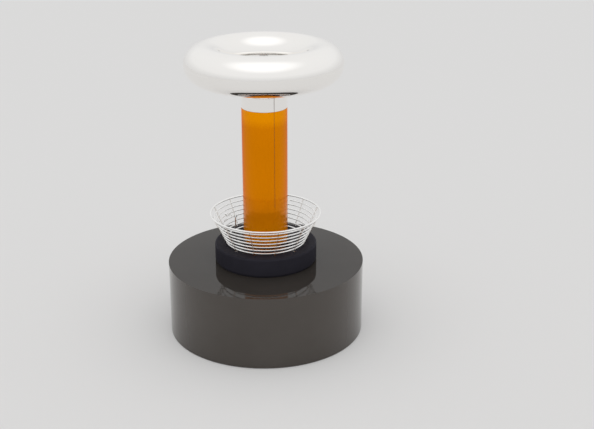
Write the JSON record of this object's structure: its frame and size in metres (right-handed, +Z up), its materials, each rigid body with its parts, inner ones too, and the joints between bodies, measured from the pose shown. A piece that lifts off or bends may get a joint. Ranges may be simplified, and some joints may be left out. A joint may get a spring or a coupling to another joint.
{
  "type": "museum resonant transformer",
  "caption": "Floor-standing resonant transformer exhibit: drum plinth with drive electronics, conical primary coil, tall secondary on a clear tube, and a polished toroid.",
  "frame": {"origin": "centre of the plinth's underside, on the floor, on the coil's axis", "axes": "+Z up along the coil's axis; the plain front faces -Y and the service door faces +Y"},
  "size_m": [1.4, 1.4, 2.09],
  "materials": {
    "plinth_lacquer": "high-gloss dark grey-brown lacquer on bent panel",
    "inner_plywood": "bare plywood",
    "foot_rubber": "plain black rubber",
    "plated_steel": "zinc-plated steel, satin",
    "grey_paint": "fine-textured powder coat",
    "black_moulding": "matt moulded",
    "red_moulding": "semi-gloss moulded",
    "pale_moulding": "matt moulded",
    "bare_aluminium": "polished to satin",
    "circuit_board": "green solder mask",
    "laminate": "glass laminate",
    "copper": "bright copper",
    "brass": "machined brass",
    "base_black": "gloss near-black with a blue cast",
    "clear_acrylic": "clear cast acrylic, polished",
    "enamelled_wire": "varnished orange enamelled wire, close wound",
    "lead_wire": "dark insulated wire",
    "coil_tube": "bright drawn tube",
    "white_insulator": "white machined plastic",
    "polished_toroid": "spun and mirror polished"
  },
  "bodies": {
    "cabinet": {"glide_feet": "foot_rubber", "floor_panel": "inner_plywood", "wall_front": "plinth_lacquer", "wall_rear_right": "plinth_lacquer", "wall_rear_left": "plinth_lacquer", "top_panel": "plinth_lacquer", "support_posts": "inner_plywood", "hinge_wall_leaf": "plated_steel", "hinge_pin": "plated_steel", "lock_strike": "plated_steel", "connection_pan": "grey_paint", "isolator_body": "black_moulding", "breaker_body": "pale_moulding", "cable_glands": "black_moulding", "fan_mount": "inner_plywood", "fan_frame": "black_moulding", "fan_guard": "plated_steel", "equipment_tray": "plated_steel", "mains_filter": "bare_aluminium", "contactor": "black_moulding", "rectifier": "black_moulding", "bus_capacitors": "black_moulding", "heatsink": "bare_aluminium", "power_modules": "pale_moulding", "driver_board": "circuit_board", "tank_board": "laminate", "tank_capacitors": "pale_moulding", "feed_bars": "copper", "control_unit": "grey_paint", "ground_bar": "brass", "base_housing": "base_black", "base_foot_ring": "base_black", "tube_socket": "base_black", "tube_collar": "base_black", "secondary_tube": "clear_acrylic", "secondary_winding": "enamelled_wire", "earth_lead": "lead_wire", "primary_coil": "coil_tube", "support_ribs": "clear_acrylic", "rib_clamp_ring": "clear_acrylic", "feed_terminals": "brass", "tap_clamp": "coil_tube", "tap_lead": "coil_tube", "strike_ring": "coil_tube", "strike_joiner": "white_insulator", "strike_lead": "copper", "end_cap": "polished_toroid", "lead_terminal": "lead_wire", "winding_lead": "lead_wire", "toroid_post": "bare_aluminium", "toroid_lower": "polished_toroid", "toroid_upper": "polished_toroid", "centre_plate": "polished_toroid"},
    "door": {"door_panel": "plinth_lacquer", "hinge_door_leaf": "plated_steel", "lock_barrel": "plated_steel"},
    "lock": {"lock_cam": "plated_steel"},
    "isolator": {"isolator_handle": "red_moulding"},
    "breaker": {"breaker_toggle": "black_moulding"},
    "fan": {"fan_rotor": "black_moulding"}
  },
  "joints": [
    {"name": "door_hinge", "type": "hinge", "parent": "cabinet", "child": "door", "pos_m": [-0.28248, 0.63446, 0.26], "axis": [0, 0, 1], "range_deg": [0, 90]},
    {"name": "lock_turn", "type": "hinge", "parent": "door", "child": "lock", "pos_m": [0.24609, 0.63391, 0.256], "axis": [0.3619, 0.9322, 0], "range_deg": [0, 90]},
    {"name": "isolator_turn", "type": "hinge", "parent": "cabinet", "child": "isolator", "pos_m": [0.59392, 0.27131, 0.17], "axis": [0.866, 0.5, 0], "range_deg": [0, 90]},
    {"name": "breaker_flip", "type": "hinge", "parent": "cabinet", "child": "breaker", "pos_m": [0.54859, 0.33982, 0.15], "axis": [-0.5, 0.866, 0], "range_deg": [0, 60]},
    {"name": "fan_spin", "type": "hinge", "parent": "cabinet", "child": "fan", "pos_m": [-0.56344, 0.3253, 0.27], "axis": [-0.866, 0.5, 0], "continuous": true}
  ]
}
